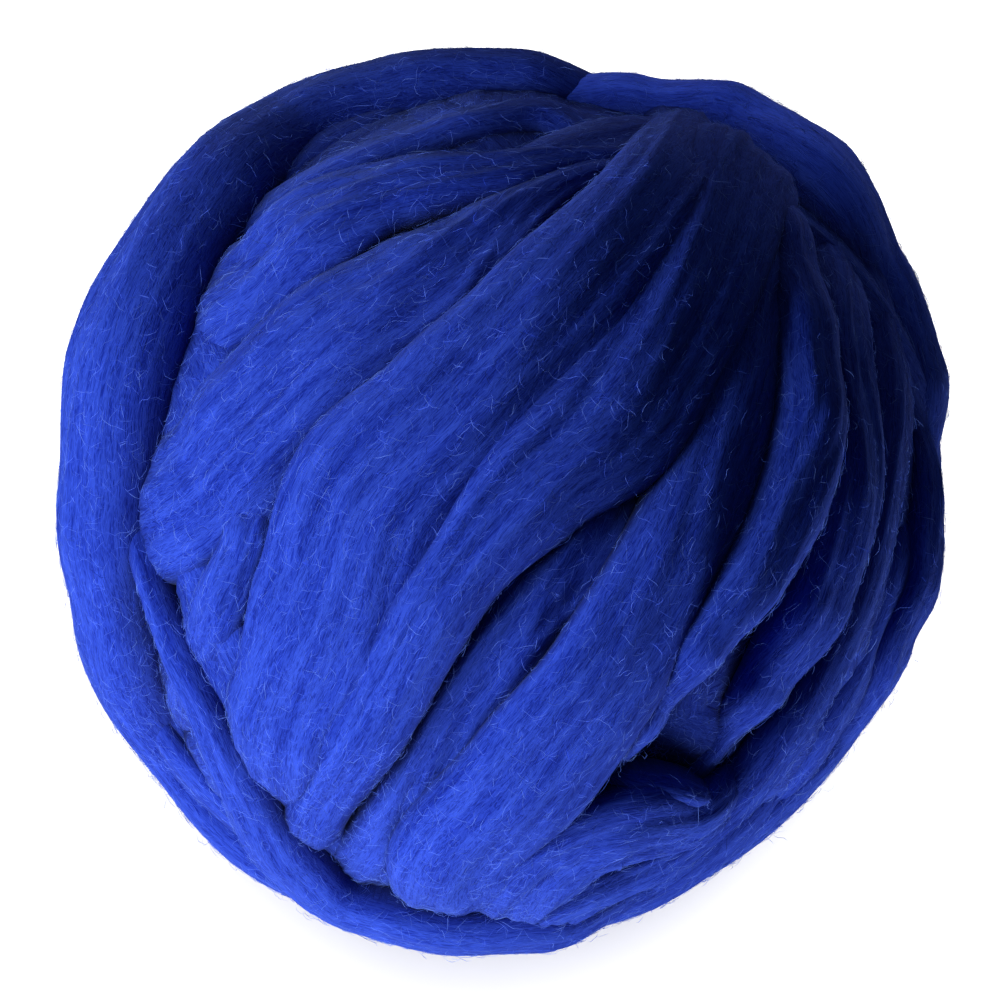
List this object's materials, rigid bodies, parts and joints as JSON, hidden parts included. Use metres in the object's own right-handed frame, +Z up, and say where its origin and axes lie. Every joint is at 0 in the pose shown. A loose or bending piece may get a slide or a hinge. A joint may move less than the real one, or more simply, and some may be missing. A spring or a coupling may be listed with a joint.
{
  "type": "ball of super chunky merino yarn",
  "caption": "Hand-wound ball of thick unspun merino roving in royal blue, its wide strands crossing in fans over one another, pressed flat where it rests.",
  "frame": {"origin": "middle of the flat spot on which the ball rests, straight below the middle of the winding", "axes": "+Z up from the resting surface, -Y the front, towards which the best face of the ball leans, +X to the right of the front"},
  "size_m": [0.2318, 0.238, 0.2352],
  "materials": {
    "wool": "matte unspun wool roving with a soft sheen and loose surface fibres"
  },
  "bodies": {
    "root": {"ball": "wool"}
  },
  "joints": []
}
